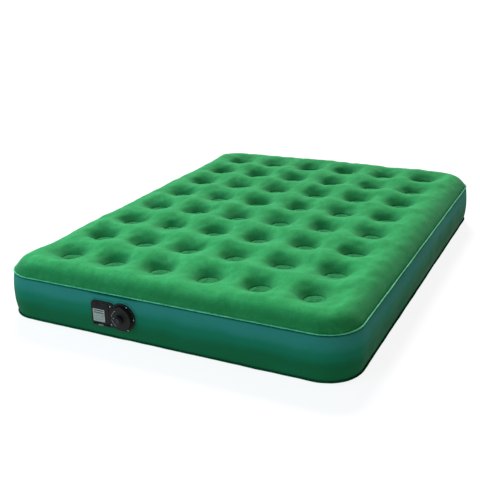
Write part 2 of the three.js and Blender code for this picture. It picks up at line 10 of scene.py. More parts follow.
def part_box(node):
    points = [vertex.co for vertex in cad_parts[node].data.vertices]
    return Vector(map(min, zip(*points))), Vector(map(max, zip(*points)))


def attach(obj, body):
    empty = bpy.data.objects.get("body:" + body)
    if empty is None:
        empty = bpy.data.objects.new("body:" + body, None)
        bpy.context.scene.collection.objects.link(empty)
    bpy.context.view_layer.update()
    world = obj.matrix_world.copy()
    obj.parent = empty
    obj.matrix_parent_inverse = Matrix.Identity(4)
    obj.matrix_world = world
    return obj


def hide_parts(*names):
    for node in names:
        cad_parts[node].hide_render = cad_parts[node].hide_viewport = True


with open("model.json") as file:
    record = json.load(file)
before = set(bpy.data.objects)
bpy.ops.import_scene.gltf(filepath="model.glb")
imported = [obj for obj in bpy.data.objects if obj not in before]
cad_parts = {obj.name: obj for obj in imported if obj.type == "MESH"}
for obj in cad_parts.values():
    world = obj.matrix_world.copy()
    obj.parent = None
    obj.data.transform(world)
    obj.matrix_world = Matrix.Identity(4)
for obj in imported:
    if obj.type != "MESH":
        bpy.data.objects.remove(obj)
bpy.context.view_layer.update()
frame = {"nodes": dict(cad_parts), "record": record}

MM = 0.001

# ---- dimensions of the mattress
SEAM_X, SEAM_Y, CROWN_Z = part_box("top_sheet")[1]  # half the width and length at the weld line
CORNER = 134 * MM
SEAM_LENGTH = 4 * (SEAM_X + SEAM_Y - 2 * CORNER + CORNER * math.pi / 2)
FOOT_MIDDLE = SEAM_LENGTH / 4 * 3  # arc length where the weld line crosses x = 0 at the foot
SEAM_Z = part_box("top_seam_bead")[0][2] + 1.2 * MM
BASE_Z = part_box("bottom_seam_bead")[0][2] + 1.4 * MM
SHEET = 1.0 * MM
SHEET_SMOOTH = 50  # degrees, below which a bend is shaded smooth
WALL_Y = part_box("side_wall")[0][1]  # outer face of the foot wall
BULGE = -WALL_Y - SEAM_Y

COLUMNS, ROWS = 6, 8
PITCH_X, PITCH_Y = 215 * MM, 230 * MM
FIELD_X, FIELD_Y = COLUMNS * PITCH_X / 2, ROWS * PITCH_Y / 2
DISC = 42.5 * MM  # weld disc
LIP = 46 * MM  # top of the small step round a weld disc
FOOT_LIP = 52 * MM  # the fuller lip on a dimple's foot side
FOOT_SIDE = math.radians(-63)
FOOT_LIP_RISE = 20 * MM
FIRST_ROW_RISE = 17 * MM  # the lip on the row next to the foot wall
DISC_Z = CROWN_Z - 47 * MM
LIP_Z = CROWN_Z - 43 * MM

# ---- dimensions of the pump, in millimetres where they are (x, h) or (d, h) points
DIAL_PLACE = (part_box("dial")[0][0] / MM + 49, 112)
DIAL_PLATE = 57  # radius of the face's dial side
BAY = (-288, 60, -183, 164)  # x0, h0, x1, h1 of the face's battery side
BAY_CORNER = 20
FACE_MIDDLE = (-200, 112)  # every point of the face's outline is seen from here
HINGE = (11.8, 66.4)  # d and h of the door's hinge axis
HINGE_RADIUS = 2.6
PATCH = (-318 * MM, 30 * MM, -62 * MM, 184 * MM)  # x0, h0, x1, h1 of the wall round the pump

# ---- the view and the room
CAMERA_PLACE = (1.4416, -3.1978, 1.3955)
CAMERA_TURN = (69.6621, 1.3357, 26.0617)  # tilt, roll and heading in degrees
CAMERA_LENS = 58.54


# ---- camera, floor and light
def new_object(name, data):
    obj = bpy.data.objects.new(name, data)
    bpy.context.collection.objects.link(obj)
    return obj


def make_camera():
    data = bpy.data.cameras.new("camera")
    data.lens = CAMERA_LENS
    data.sensor_width = 36
    data.clip_end = 200
    camera = new_object("camera", data)
    turn = Euler([math.radians(angle) for angle in CAMERA_TURN])
    camera.matrix_world = Matrix.LocRotScale(Vector(CAMERA_PLACE), turn, None)
    bpy.context.scene.camera = camera


def add_light(name, kind, direction, power, color):
    data = bpy.data.lights.new(name, kind)
    data.energy = power
    data.color = color
    light = new_object(name, data)
    light.rotation_euler = Vector(direction).to_track_quat("-Z", "Y").to_euler()
    return light


def add_softbox(name, place, target, size, power, color):
    light = add_light(name, "AREA", Vector(target) - Vector(place), power, color)
    light.location = place
    light.data.shape = "RECTANGLE"
    light.data.size, light.data.size_y = size


def make_floor():
    corners = [(-60, -60, 0), (60, -60, 0), (60, 60, 0), (-60, 60, 0)]
    floor = mesh_object("floor", corners, [(0, 1, 2, 3)])
    floor.location.z = -0.4 * MM
    paint = Paint("studio_floor", rough=0.8, specular=0.0)
    paint.set("Emission Color", (1, 1, 1))
    paint.set("Emission Strength", 0.88)
    floor.data.materials.append(paint.finished((0.22, 0.22, 0.22)))


def make_studio():
    scene = bpy.context.scene
    scene.view_settings.view_transform = "Standard"
    world = bpy.data.worlds.new("studio")
    world.use_nodes = True
    sky = world.node_tree.nodes["Background"].inputs
    sky["Color"].default_value = (1, 1, 1, 1)
    sky["Strength"].default_value = 0.15
    scene.world = world

    sun = add_light("key_from_head", "SUN", (0.42, -0.76, -0.74), 4.2, (1.0, 1.0, 0.98))
    sun.data.angle = math.radians(22)
    add_softbox("left_softbox", (-4.2, -1.0, 1.6), (0, 0, 0.2), (2.0, 1.2), 46, (0.35, 0.80, 0.95))
    add_softbox("foot_softbox", (-1.6, -3.8, 1.9), (-0.1, -1.0, 0.15), (2.6, 1.0), 76, (0.46, 0.76, 1.0))
    make_floor()


# ---- meshes
def mesh_object(name, vertices, faces):
    mesh = bpy.data.meshes.new(name)
    mesh.from_pydata([tuple(v) for v in vertices], [], [tuple(int(i) for i in face) for face in faces])
    mesh.update()
    return new_object(name, mesh)


def shade(obj, angle):
    """Smooth shading, with a sharp edge where faces meet at more than the angle."""
    obj.data.shade_smooth()
    obj.data.set_sharp_from_angle(angle=math.radians(angle))


def edit(mesh, *changes):
    """Runs each change on the mesh in its editable form."""
    work = bmesh.new()
    work.from_mesh(mesh)
    for change in changes:
        change(work)
    work.to_mesh(mesh)
    work.free()


def face_outward(work):
    bmesh.ops.recalc_face_normals(work, faces=work.faces)


def merge_close(work, distance=0.001 * MM):
    bmesh.ops.remove_doubles(work, verts=work.verts, dist=distance)


def faces_between(loops):
    """Quads between successive loops of vertex numbers. Each loop goes round."""
    faces = []
    for a, b in zip(loops, loops[1:]):
        for i in range(len(a)):
            j = (i + 1) % len(a)
            faces.append((a[i], a[j], b[j], b[i]))
    return faces


def closed_object(name, vertices, faces, smooth):
    obj = mesh_object(name, vertices, faces)
    edit(obj.data, face_outward)
    shade(obj, smooth)
    return obj


def swept(name, rings, smooth, capped=False):
    """A closed mesh through rings of points. The last ring meets the first, or both are capped."""
    n = len(rings[0])
    loops = [list(range(i * n, i * n + n)) for i in range(len(rings))]
    if capped:
        faces = faces_between(loops) + [loops[0][::-1], loops[-1]]
    else:
        faces = faces_between(loops + loops[:1])
    return closed_object(name, [point for ring in rings for point in ring], faces, smooth)


def evaluated_copy(obj):
    """The object's final mesh as a new object of its name, and the old object removed."""
    name = obj.name
    obj.name = name + "_before"
    graph = bpy.context.evaluated_depsgraph_get()
    mesh = bpy.data.meshes.new_from_object(obj.evaluated_get(graph))
    mesh.name = name
    made = new_object(name, mesh)
    bpy.data.objects.remove(obj)
    return made


def finish_piece(obj, body, slot, *nodes, finish=None):
    """Puts a piece on its body, in its slot's finish, in place of the CAD nodes it stands for."""
    obj.data.materials.clear()
    obj.data.materials.append(FINISHES[finish or slot])
    for face in obj.data.polygons:
        face.material_index = 0
    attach(obj, body)
    if nodes:
        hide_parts(*nodes)
    return obj


def rising(value, start, width):
    """From 0 at the start to 1 a width further on, with soft ends."""
    t = np.clip((value - start) / width, 0, 1)
    return t * t * (3 - 2 * t)


def falling(value, start, width):
    return 1 - rising(value, start, width)


def bell(value, width):
    return np.exp(-((value / width) ** 2))


# ---- the inflated form
def inside_seam(x, y):
    """How far a point is inside the weld line."""
    cx = np.abs(x) - (SEAM_X - CORNER)
    cy = np.abs(y) - (SEAM_Y - CORNER)
    outside = np.hypot(np.maximum(cx, 0), np.maximum(cy, 0))
    return CORNER - outside - np.minimum(np.maximum(cx, cy), 0)


def disc_centres():
    xs = [(i - (COLUMNS - 1) / 2) * PITCH_X for i in range(COLUMNS)]
    ys = [(j - (ROWS - 1) / 2) * PITCH_Y for j in range(ROWS)]
    return [(x, y) for y in ys for x in xs]


def from_disc(x, y):
    i = np.clip(np.round(x / PITCH_X + (COLUMNS - 1) / 2), 0, COLUMNS - 1)
    j = np.clip(np.round(y / PITCH_Y + (ROWS - 1) / 2), 0, ROWS - 1)
    dx = x - (i - (COLUMNS - 1) / 2) * PITCH_X
    dy = y - (j - (ROWS - 1) / 2) * PITCH_Y
    return np.hypot(dx, dy)


def relax(z, free, push, hx, hy, sweeps):
    """Red-black over-relaxation of a stretched skin under pressure, in place."""
    wx = hy * hy / (2 * (hx * hx + hy * hy))
    wy = hx * hx / (2 * (hx * hx + hy * hy))
    load = push[1:-1, 1:-1] * (hx * hx * hy * hy) / (2 * (hx * hx + hy * hy))
    parity = np.add.outer(np.arange(z.shape[0] - 2), np.arange(z.shape[1] - 2)) % 2
    masks = [1.9 * (free[1:-1, 1:-1] & (parity == p)) for p in (0, 1)]
    inner = z[1:-1, 1:-1]
    for _ in range(sweeps):
        for mask in masks:
            mean = wx * (z[:-2, 1:-1] + z[2:, 1:-1]) + wy * (z[1:-1, :-2] + z[1:-1, 2:])
            inner += mask * (mean + load - inner)


class Skin:
    """The top sheet's height, as a membrane under pressure that is held down at each weld disc
    and along the weld line, on a grid."""

    GRIDS = [(37 * n, 50 * n) for n in (1, 2, 4, 8)]
    SWEEPS = 300

    def __init__(self):
        held = self.solve(pressure=False)
        blown = self.solve(pressure=True)
        middle = tuple(n // 2 for n in held.shape)
        self.z = held + blown * (CROWN_Z - held[middle]) / blown[middle]
        self.border_in = np.linspace(0, 130 * MM, 53)
        self.border_z = [self.mean_border(inside) for inside in self.border_in]

    def mean_border(self, inside):
        """The mean height along the straight borders at a distance inside the seam."""
        along_side = np.linspace(-3 * PITCH_Y, 3 * PITCH_Y, 120, endpoint=False)
        along_end = np.linspace(-2 * PITCH_X, 2 * PITCH_X, 80, endpoint=False)
        side = self.at(np.full(120, SEAM_X - inside), along_side)
        end = self.at(along_end, np.full(80, SEAM_Y - inside))
        return (side.mean() + end.mean()) / 2

    def even(self, x, y, inside, z):
        """Heights near the seam, drawn towards the mean: a full border hardly shows the dimples.
        The long sides are a little less full than the ends."""
        part = 0.8 * falling(inside, 55 * MM, 70 * MM)
        long_side = rising(SEAM_Y - np.abs(y) - SEAM_X + np.abs(x), 0, 250 * MM)
        lower = 8 * MM * long_side * rising(inside, 0, 35 * MM)
        return z + (np.interp(inside, self.border_in, self.border_z) - lower - z) * part

    def solve(self, pressure):
        z = None
        for nx, ny in self.GRIDS:
            x = np.linspace(-SEAM_X, SEAM_X, nx + 1)
            y = np.linspace(-SEAM_Y, SEAM_Y, ny + 1)
            gx, gy = np.meshgrid(x, y, indexing="ij")
            inside = inside_seam(gx, gy)
            weld = from_disc(gx, gy) <= LIP
            free = (inside > 1e-6) & ~weld
            z = np.zeros_like(gx) if z is None else self.double(z)
            z[weld] = 0 if pressure else LIP_Z
            z[inside <= 1e-6] = 0 if pressure else SEAM_Z
            at_side = 2.8 * bell(SEAM_X - np.abs(gx), 45 * MM)
            at_end = 3.4 * bell(SEAM_Y - np.abs(gy), 46 * MM)
            push = (1 + at_side + at_end) * pressure
            relax(z, free, push, 2 * SEAM_X / nx, 2 * SEAM_Y / ny, self.SWEEPS)
        self.nx, self.ny = nx, ny
        return z

    @staticmethod
    def double(z):
        fine = np.zeros((2 * z.shape[0] - 1, 2 * z.shape[1] - 1))
        fine[::2, ::2] = z
        fine[1::2, ::2] = (z[:-1] + z[1:]) / 2
        fine[:, 1::2] = (fine[:, :-2:2] + fine[:, 2::2]) / 2
        return fine

    def at(self, x, y):
        """Height at arrays of points, by cubic interpolation."""
        fx = np.clip((x + SEAM_X) / (2 * SEAM_X) * self.nx, 0, self.nx)
        fy = np.clip((y + SEAM_Y) / (2 * SEAM_Y) * self.ny, 0, self.ny)
        ix = np.minimum(np.floor(fx).astype(int), self.nx - 1)
        iy = np.minimum(np.floor(fy).astype(int), self.ny - 1)
        total = 0
        for a, wa in enumerate(cubic(fx - ix)):
            for b, wb in enumerate(cubic(fy - iy)):
                row = np.clip(ix + a - 1, 0, self.nx)
                column = np.clip(iy + b - 1, 0, self.ny)
                total = total + wa * wb * self.z[row, column]
        return total


def cubic(t):
    return (
        ((2 - t) * t - 1) * t / 2,
        ((3 * t - 5) * t * t + 2) / 2,
        ((4 - 3 * t) * t + 1) * t / 2,
        (t - 1) * t * t / 2,
    )


def waves(seed, count, shortest, longest, height):
    """A fixed sum of gentle random waves over the plan."""
    rng = np.random.default_rng(seed)
    terms = []
    for _ in range(count):
        length = shortest * (longest / shortest) ** rng.random()
        heading = 2 * math.pi * rng.random()
        k = 2 * math.pi / length
        amplitude = height * (length / longest) ** 0.7 * rng.normal()
        terms.append((k * math.cos(heading), k * math.sin(heading), 2 * math.pi * rng.random(), amplitude))

    def at(x, y):
        return sum(a * np.sin(kx * x + ky * y + phase) for kx, ky, phase, a in terms)

    return at


def rectangle_edge(half_x, half_y, across, along):
    """Evenly spaced points round a rectangle, anticlockwise from its corner at +X, -Y."""
    corners = [(half_x, -half_y), (half_x, half_y), (-half_x, half_y), (-half_x, -half_y)]
    corners.append(corners[0])
    points = []
    for (x0, y0), (x1, y1), steps in zip(corners, corners[1:], (along, across, along, across)):
        for i in range(steps):
            t = i / steps
            points.append((x0 + (x1 - x0) * t, y0 + (y1 - y0) * t))
    return np.array(points)


def seam_point(s):
    """Points at arc lengths s round the weld line, from the middle of the +X side, going
    anticlockwise, and their outward directions."""
    flat_y, flat_x = SEAM_Y - CORNER, SEAM_X - CORNER
    arc = CORNER * math.pi / 2
    quarter = flat_y + arc + flat_x
    s = np.asarray(s, float) % (4 * quarter)
    k = np.floor(s / quarter).astype(int)
    u = s - k * quarter
    u = np.where(k % 2 == 0, u, quarter - u)
    a = np.clip((u - flat_y) / CORNER, 0, math.pi / 2)
    x = flat_x + CORNER * np.cos(a) - np.maximum(u - flat_y - arc, 0)
    y = np.minimum(u, flat_y) + CORNER * np.sin(a)
    nx, ny = np.cos(a), np.sin(a)
    sx = np.where((k == 0) | (k == 3), 1, -1)
    sy = np.where(k < 2, 1, -1)
    return np.stack([sx * x, sy * y], 1), np.stack([sx * nx, sy * ny], 1)


def edge_to_seam(edge):
    """For points that go round the field's edge, the points as far round the weld line."""
    steps = np.hypot(*np.diff(edge, axis=0).T)
    along = np.concatenate([[0], np.cumsum(steps)]) - FIELD_Y
    return seam_point(along * SEAM_LENGTH / (4 * (FIELD_X + FIELD_Y)))[0]


class QuiltMesh:
    """Vertices and faces of a sheet in plan: a fan of rings round each weld disc, out to the
    shared edges of its cell, and a border strip out to the weld line."""

    def __init__(self, per_side, radii, outer, border_steps):
        self.plan, self.cell, self.local, self.faces = [], [], [], []
        self.shared = {}
        for number, centre in enumerate(disc_centres()):
            self.add_cell(number, np.array(centre), per_side, radii, outer)
        self.add_border(per_side, border_steps)
        self.plan = np.array(self.plan)
        self.cell = np.array(self.cell)
        self.local = np.array(self.local)  # radius and angle about the disc

    def vertex(self, x, y, cell, radius, angle):
        self.plan.append((x, y))
        self.cell.append(cell)
        self.local.append((radius, angle))
        return len(self.plan) - 1

    def edge_vertex(self, x, y):
        key = (round(x * 1e6), round(y * 1e6))
        if key not in self.shared:
            self.shared[key] = self.vertex(x, y, -1, 1.0, 0.0)
        return self.shared[key]

    def add_cell(self, number, centre, per_side, radii, outer):
        spokes = rectangle_edge(PITCH_X / 2, PITCH_Y / 2, per_side, per_side)
        length = np.hypot(spokes[:, 0], spokes[:, 1])
        unit = spokes / length[:, None]
        angle = np.arctan2(unit[:, 1], unit[:, 0])
        middle = self.vertex(*centre, number, 0.0, 0.0)
        distances = [np.full_like(length, radius) for radius in radii]
        distances += [radii[-1] + (length - radii[-1]) * share for share in outer[:-1]]
        loops = []
        for distance in distances:
            points = centre + unit * distance[:, None]
            rows = zip(points, distance, angle)
            loops.append([self.vertex(*point, number, r, a) for point, r, a in rows])
        loops.append([self.edge_vertex(*(centre + spoke)) for spoke in spokes])
        n = len(spokes)
        self.faces += [(middle, loops[0][(i + 1) % n], loops[0][i]) for i in range(n)]
        self.faces += faces_between(loops)

    def add_border(self, per_side, steps):
        edge = rectangle_edge(FIELD_X, FIELD_Y, COLUMNS * per_side, ROWS * per_side)
        weld = edge_to_seam(edge)
        loops = [[self.edge_vertex(*point) for point in edge]]
        for share in steps:
            points = edge + (weld - edge) * share
            loops.append([self.vertex(*point, -1, 1.0, 0.0) for point in points])
        self.faces += faces_between(loops)
        self.weld = loops[-1]


# ---- top sheet
class Dimples:
    """The small differences between one dimple and the next."""

    def __init__(self, seed):
        rng = np.random.default_rng(seed)
        n = COLUMNS * ROWS
        self.depth = rng.normal(0, 1.2 * MM, n)
        self.tilt = rng.normal(0, 0.025, (n, 2))
        self.wobble = rng.normal(0, 1, (n, 3)) * (0.030, 0.024, 0.016)
        self.phase = rng.uniform(0, 2 * math.pi, (n, 3))
        self.ridge_turn = rng.normal(0.1, 0.25, n)
        self.ridge_phase = rng.uniform(0, 2 * math.pi, n)
        self.pucker_at = rng.normal(25 * MM, 2.5 * MM, n)
        self.pucker_high = rng.normal(3.4 * MM, 0.8 * MM, n)
        self.folds = 9
        self.fold_at = rng.uniform(0, 2 * math.pi, (n, self.folds))
        self.fold_high = rng.normal(0, 0.9 * MM, (n, self.folds))
        self.fold_wide = rng.uniform(0.07, 0.16, (n, self.folds))
        self.fold_long = rng.uniform(9 * MM, 26 * MM, (n, self.folds))

    def stretch(self, cell, radius, angle):
        """How much further from the centre a point near the disc's edge lies."""
        total = 0
        for k, turns in enumerate((2, 3, 5)):
            total = total + self.wobble[cell, k] * np.cos(turns * angle + self.phase[cell, k])
        near = rising(radius, 0, 24 * MM) * falling(radius, DISC, 45 * MM)
        return total * near

    def fold(self, cell, radius, angle):
        """Short creases that run out from the weld disc."""
        total = 0
        for k in range(self.folds):
            off = np.angle(np.exp(1j * (angle - self.fold_at[cell, k])))
            across = bell(off, self.fold_wide[cell, k])
            along = np.exp(-np.maximum(radius - DISC, 0) / self.fold_long[cell, k])
            total = total + self.fold_high[cell, k] * across * along
        return total * rising(radius, 38 * MM, 6 * MM)

    def relief(self, cell, x, y, radius):
        """The weld's raised ring and its few shallow ridges, on a disc that is a little tilted."""
        c, s = np.cos(self.ridge_turn[cell]), np.sin(self.ridge_turn[cell])
        across = -s * x + c * y
        wave = np.cos(across * 2 * math.pi / (14 * MM) + self.ridge_phase[cell])
        ridges = 1.5 * MM * wave * falling(radius, 28 * MM, 8 * MM)
        ring = 1.5 * MM * bell(radius - 36 * MM, 2.8 * MM)
        pucker_x = x + self.pucker_at[cell] + y * y / (60 * MM)
        pucker = bell(pucker_x, 3.2 * MM) * np.exp(-((y / (20 * MM)) ** 4))
        ridges = ridges * rising(pucker_x, -1 * MM, 9 * MM) + self.pucker_high[cell] * pucker
        bend = self.tilt[cell, 0] * x + self.tilt[cell, 1] * y
        return ridges + ring + bend * falling(radius, DISC, 30 * MM)


def funnel(radius):
    """Rise of a round membrane of one cell's area from a dimple's step, to no scale."""
    r = np.maximum(radius, LIP)
    return PITCH_X * PITCH_Y * np.log(r / LIP) - math.pi * (r * r - LIP * LIP) / 2


def top_heights(skin, quilt, dimples):
    x, y = quilt.plan[:, 0], quilt.plan[:, 1]
    z = skin.at(x, y)
    plan = quilt.plan.copy()

    # Near a disc the grid is stepped, so the sheet follows a round membrane's profile there
    settle = 78 * MM
    radius, angle = quilt.local.T
    own = quilt.cell >= 0
    c = np.where(own, quilt.cell, 0)
    centres = np.array(disc_centres())[c]
    ux, uy = np.cos(angle), np.sin(angle)
    far = skin.at(centres[:, 0] + ux * settle, centres[:, 1] + uy * settle)
    near = LIP_Z + (far - LIP_Z) * funnel(radius) / funnel(settle)
    z = np.where(own & (radius < settle), near, z)

    # The sheet is stiff, so it runs more straight from a disc to the crowns than a membrane does
    rise = np.clip((z - LIP_Z) / (CROWN_Z - LIP_Z), 0, 1)
    sag = 0.40 * (CROWN_Z - LIP_Z) * (rise - rise**2.2)
    inside = inside_seam(x, y)
    z = z - sag * rising(inside, 60 * MM, 50 * MM)
    z = skin.even(x, y, inside, z)
    step = falling(radius, DISC, LIP - DISC)
    z = np.where(own & (radius < LIP), LIP_Z + (DISC_Z - LIP_Z) * step, z)

    # On the foot side the sheet stands up more sharply, to a lip, and then runs flatter
    lip_rise = np.where(c < COLUMNS, FIRST_ROW_RISE, FOOT_LIP_RISE)
    t = np.clip((radius - DISC) / (FOOT_LIP - DISC), 0, 1)
    lip = DISC_Z + lip_rise * (1 - (1 - t) ** 1.6) + 0.32 * np.maximum(radius - FOOT_LIP, 0)
    part = rising(np.cos(angle - FOOT_SIDE), -0.1, 0.7)
    part = part * falling(radius, 72 * MM, 36 * MM)
    z = np.where(own & (radius > DISC), z + (lip - z) * part, z)

    depth = dimples.depth[c] * falling(radius, DISC, 50 * MM)
    change = depth + dimples.relief(c, ux * radius, uy * radius, radius)
    change = change + dimples.fold(c, radius, angle)
    z = np.where(own, z + change, z)
    grow = dimples.stretch(c, radius, angle) * radius
    plan[:, 0] += np.where(own, grow * ux, 0)
    plan[:, 1] += np.where(own, grow * uy, 0)

    # Close to the weld line the grid is stepped, so the sheet runs straight down to the seam
    edge_band = 13 * MM
    out_x = x - np.clip(x, CORNER - SEAM_X, SEAM_X - CORNER)
    out_y = y - np.clip(y, CORNER - SEAM_Y, SEAM_Y - CORNER)
    step = np.maximum(edge_band - inside, 0) / np.maximum(np.hypot(out_x, out_y), 1e-9)
    z_in = skin.even(x, y, edge_band, skin.at(x - out_x * step, y - out_y * step))
    u = np.clip(inside / edge_band, 0, 1)
    z = np.where(inside < edge_band, SEAM_Z + (z_in - SEAM_Z) * (1.35 * u - 0.35 * u * u), z)

    # The skin is never quite even
    loose = rising(inside, 0, 60 * MM) * rising(from_disc(x, y), DISC, 40 * MM)
    z = z + waves(11, 26, 0.05, 0.5, 0.9 * MM)(x, y) * loose
    z = z + waves(12, 22, 0.035, 0.12, 0.55 * MM)(x, y) * loose
    return np.column_stack([plan, z])


DISC_RINGS = [4, 8, 12, 16, 20, 24, 28, 31, 34, 37, 40, 42.5]
WALL_RINGS = [43.3, 44.5, 46, 47.5, 49, 50.5, 52, 53.5, 55.5, 58.5, 62, 67, 72, 78]
BORDER_STEPS = [0.06, 0.12, 0.19, 0.26, 0.34, 0.42, 0.5, 0.58, 0.66, 0.74, 0.81, 0.87, 0.92, 0.96, 1]


def close_sheet(name, quilt, surface, offset):
    """A sheet with its other side at the given offset and an edge along the weld line."""
    n = len(surface)
    other = surface + np.array([0, 0, offset])
    faces = quilt.faces + [tuple(i + n for i in reversed(face)) for face in quilt.faces]
    faces += faces_between([[i + n for i in quilt.weld], quilt.weld])
    return closed_object(name, np.vstack([surface, other]), faces, SHEET_SMOOTH)


def make_top_sheet():
    quilt = QuiltMesh(
        per_side=12,
        radii=[r * MM for r in DISC_RINGS + WALL_RINGS],
        outer=[0.12, 0.26, 0.4, 0.55, 0.7, 0.85, 1.0],
        border_steps=BORDER_STEPS,
    )
    top = close_sheet("top_skin", quilt, top_heights(Skin(), quilt, Dimples(5)), -SHEET)
    finish_piece(top, "mattress", "flock", "top_sheet")


# ---- bottom sheet
def make_bottom_sheet():
    quilt = QuiltMesh(
        per_side=8,
        radii=[r * MM for r in (10, 20, 28, 33, 36, 41, 48, 56, 66, 78)],
        outer=[0.35, 0.7, 1.0],
        border_steps=[0.2, 0.4, 0.55, 0.68, 0.79, 0.88, 0.95, 1.0],
    )
    x, y = quilt.plan.T
    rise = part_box("bottom_sheet")[1][2] - SHEET
    radius = from_disc(x, y)
    dimple = rise * falling(radius, DISC, 40 * MM) ** 1.4
    edge = np.clip(1 - inside_seam(x, y) / (75 * MM), 0, 1)
    z = dimple + (BASE_Z + SHEET / 2) * edge**1.8
    ridges = np.cos(y * 2 * math.pi / (16 * MM))
    z += 0.7 * MM * ridges * falling(radius, 22 * MM, 9 * MM)
    z = np.maximum(z + waves(21, 12, 0.15, 0.6, 0.4 * MM)(x, y) * edge, 0.05 * MM)
    base = close_sheet("base_skin", quilt, np.column_stack([x, y, z]), SHEET)
    finish_piece(base, "mattress", "base_vinyl", "bottom_sheet")


# ---- side wall
def face_distance(x, h, inset=0.0):
    """How far a point is outside the pump face's outline moved inward by inset."""
    x0, h0, x1, h1 = (v * MM for v in BAY)
    r = BAY_CORNER * MM
    qx = np.abs(x - (x0 + x1) / 2) - ((x1 - x0) / 2 - r)
    qh = np.abs(h - (h0 + h1) / 2) - ((h1 - h0) / 2 - r)
    bay = np.hypot(np.maximum(qx, 0), np.maximum(qh, 0)) + np.minimum(np.maximum(qx, qh), 0) - r
    disc = np.hypot(x - DIAL_PLACE[0] * MM, h - DIAL_PLACE[1] * MM) - DIAL_PLATE * MM
    return np.minimum(bay, disc) + inset


def face_ray(angle, inset):
    """The outline's point in a direction from the middle of the face."""
    x, h = FACE_MIDDLE[0] * MM, FACE_MIDDLE[1] * MM
    c, s = np.cos(angle), np.sin(angle)
    low, high = np.zeros_like(angle), np.full_like(angle, 0.2)
    for _ in range(40):
        mid = (low + high) / 2
        within = face_distance(x + c * mid, h + s * mid, inset) < 0
        low, high = np.where(within, mid, low), np.where(within, high, mid)
    return np.stack([x + c * low, h + s * low], -1)


def wall_offset(s, z, x, y):
    """How far the side wall stands out from the weld line."""
    t = np.clip((z - BASE_Z) / (SEAM_Z - BASE_Z), 0, 1)
    full = np.sin(math.pi * t)
    natural = BULGE * full**0.62
    uneven = waves(31, 12, 0.25, 0.9, 0.9 * MM)(s, 3 * z) * full
    coils = 0.9 * MM * np.cos(2 * math.pi * s / PITCH_X) * full**2
    flat = BULGE * np.sqrt(np.clip(np.minimum(SEAM_Z - z, z - BASE_Z) / (14 * MM), 0, 1))
    near = falling(face_distance(x, z), 9 * MM, 45 * MM)
    w = np.where(y < -(SEAM_Y - 1e-4), near, 0)
    return (natural + np.minimum(uneven + coils, BULGE - natural)) * (1 - w) + flat * w


def wall_columns():
    """Arc lengths of the side wall's columns, and how many lie across the pump's patch."""
    marks = [FOOT_MIDDLE + PATCH[0], FOOT_MIDDLE + PATCH[2], FOOT_MIDDLE + PATCH[0] + SEAM_LENGTH]
    counts = [round((b - a) / (15 * MM)) for a, b in zip(marks, marks[1:])]
    columns = [np.linspace(marks[k], marks[k + 1], counts[k], endpoint=False) for k in (0, 1)]
    return np.concatenate(columns), counts[0]


def wall_rows():
    """Heights of the side wall's rows, and the numbers of the rows at the patch's two edges."""
    low = BASE_Z + 1.0 * MM
    high = SEAM_Z - 1.0 * MM
    up = np.linspace(PATCH[1], PATCH[3], 12)
    below = low + (PATCH[1] - low) * np.array([0, 0.12, 0.35, 0.65])
    above = PATCH[3] + (high - PATCH[3]) * np.array([0.35, 0.65, 0.88, 1.0])
    return np.concatenate([below, up, above]), len(below), len(below) + len(up) - 1


def wall_point(s, z, offset=0.0):
    base, out = seam_point(s)
    grow = wall_offset(s, z, base[:, 0], base[:, 1]) + offset
    return np.column_stack([base + out * grow[:, None], z])


def make_side_wall():
    columns, across = wall_columns()
    rows, row0, row1 = wall_rows()
    n, m = len(columns), len(rows)
    index = np.arange(n * m).reshape(n, m)
    faces = []
    for i in range(n):
        for j in range(m - 1):
            if not (i < across and row0 <= j < row1):
                k = (i + 1) % n
                faces.append((index[i, j], index[k, j], index[k, j + 1], index[i, j + 1]))

    # The patch round the pump: rings from its rectangular edge in to the opening
    rim = [index[i, row0] for i in range(across)]
    rim += [index[across, j] for j in range(row0, row1)]
    rim += [index[i, row1] for i in range(across, 0, -1)]
    rim += [index[0, j] for j in range(row1, row0, -1)]
    s, z = np.repeat(columns, m), np.tile(rows, n)
    rim_s, rim_z = s[rim], z[rim]
    middle_s, middle_z = FOOT_MIDDLE + FACE_MIDDLE[0] * MM, FACE_MIDDLE[1] * MM
    hole = face_ray(np.arctan2(rim_z - middle_z, rim_s - middle_s), 7.5 * MM)
    loops = [rim]
    for share in (0.2, 0.4, 0.58, 0.74, 0.88, 1.0):
        loops.append(list(range(len(s), len(s) + len(rim))))
        s = np.concatenate([s, rim_s + (hole[:, 0] + FOOT_MIDDLE - rim_s) * share])
        z = np.concatenate([z, rim_z + (hole[:, 1] - rim_z) * share])
    faces += faces_between(loops)

    count = len(s)
    faces += [tuple(i + count for i in reversed(face)) for face in faces]
    for loop in (index[:, 0], index[:, -1], np.array(loops[-1])):
        faces += faces_between([loop, loop + count])
    points = np.vstack([wall_point(s, z), wall_point(s, z, -SHEET)])
    wall = closed_object("side_skin", points, faces, SHEET_SMOOTH)
    finish_piece(wall, "mattress", "side_vinyl", "side_wall")


# ---- seams
def ring_along_seam(name, section, seed, wave):
    """A closed section of (outward, z) points carried round the weld line."""
    s = np.linspace(0, SEAM_LENGTH, round(SEAM_LENGTH / (12 * MM)), endpoint=False)
    base, out = seam_point(s)
    bob = waves(seed, 14, 0.04, 0.3, wave)(s, 0 * s)
    sway = waves(seed + 1, 14, 0.04, 0.3, wave)(s, 0 * s)
    rings = []
    for grow, z in section:
        share = np.clip(grow / (8 * MM), 0, 1)
        place = base + out * (grow + sway * share)[:, None]
        rings.append(np.column_stack([place, z + bob * share]))
    return swept(name, rings, 60)


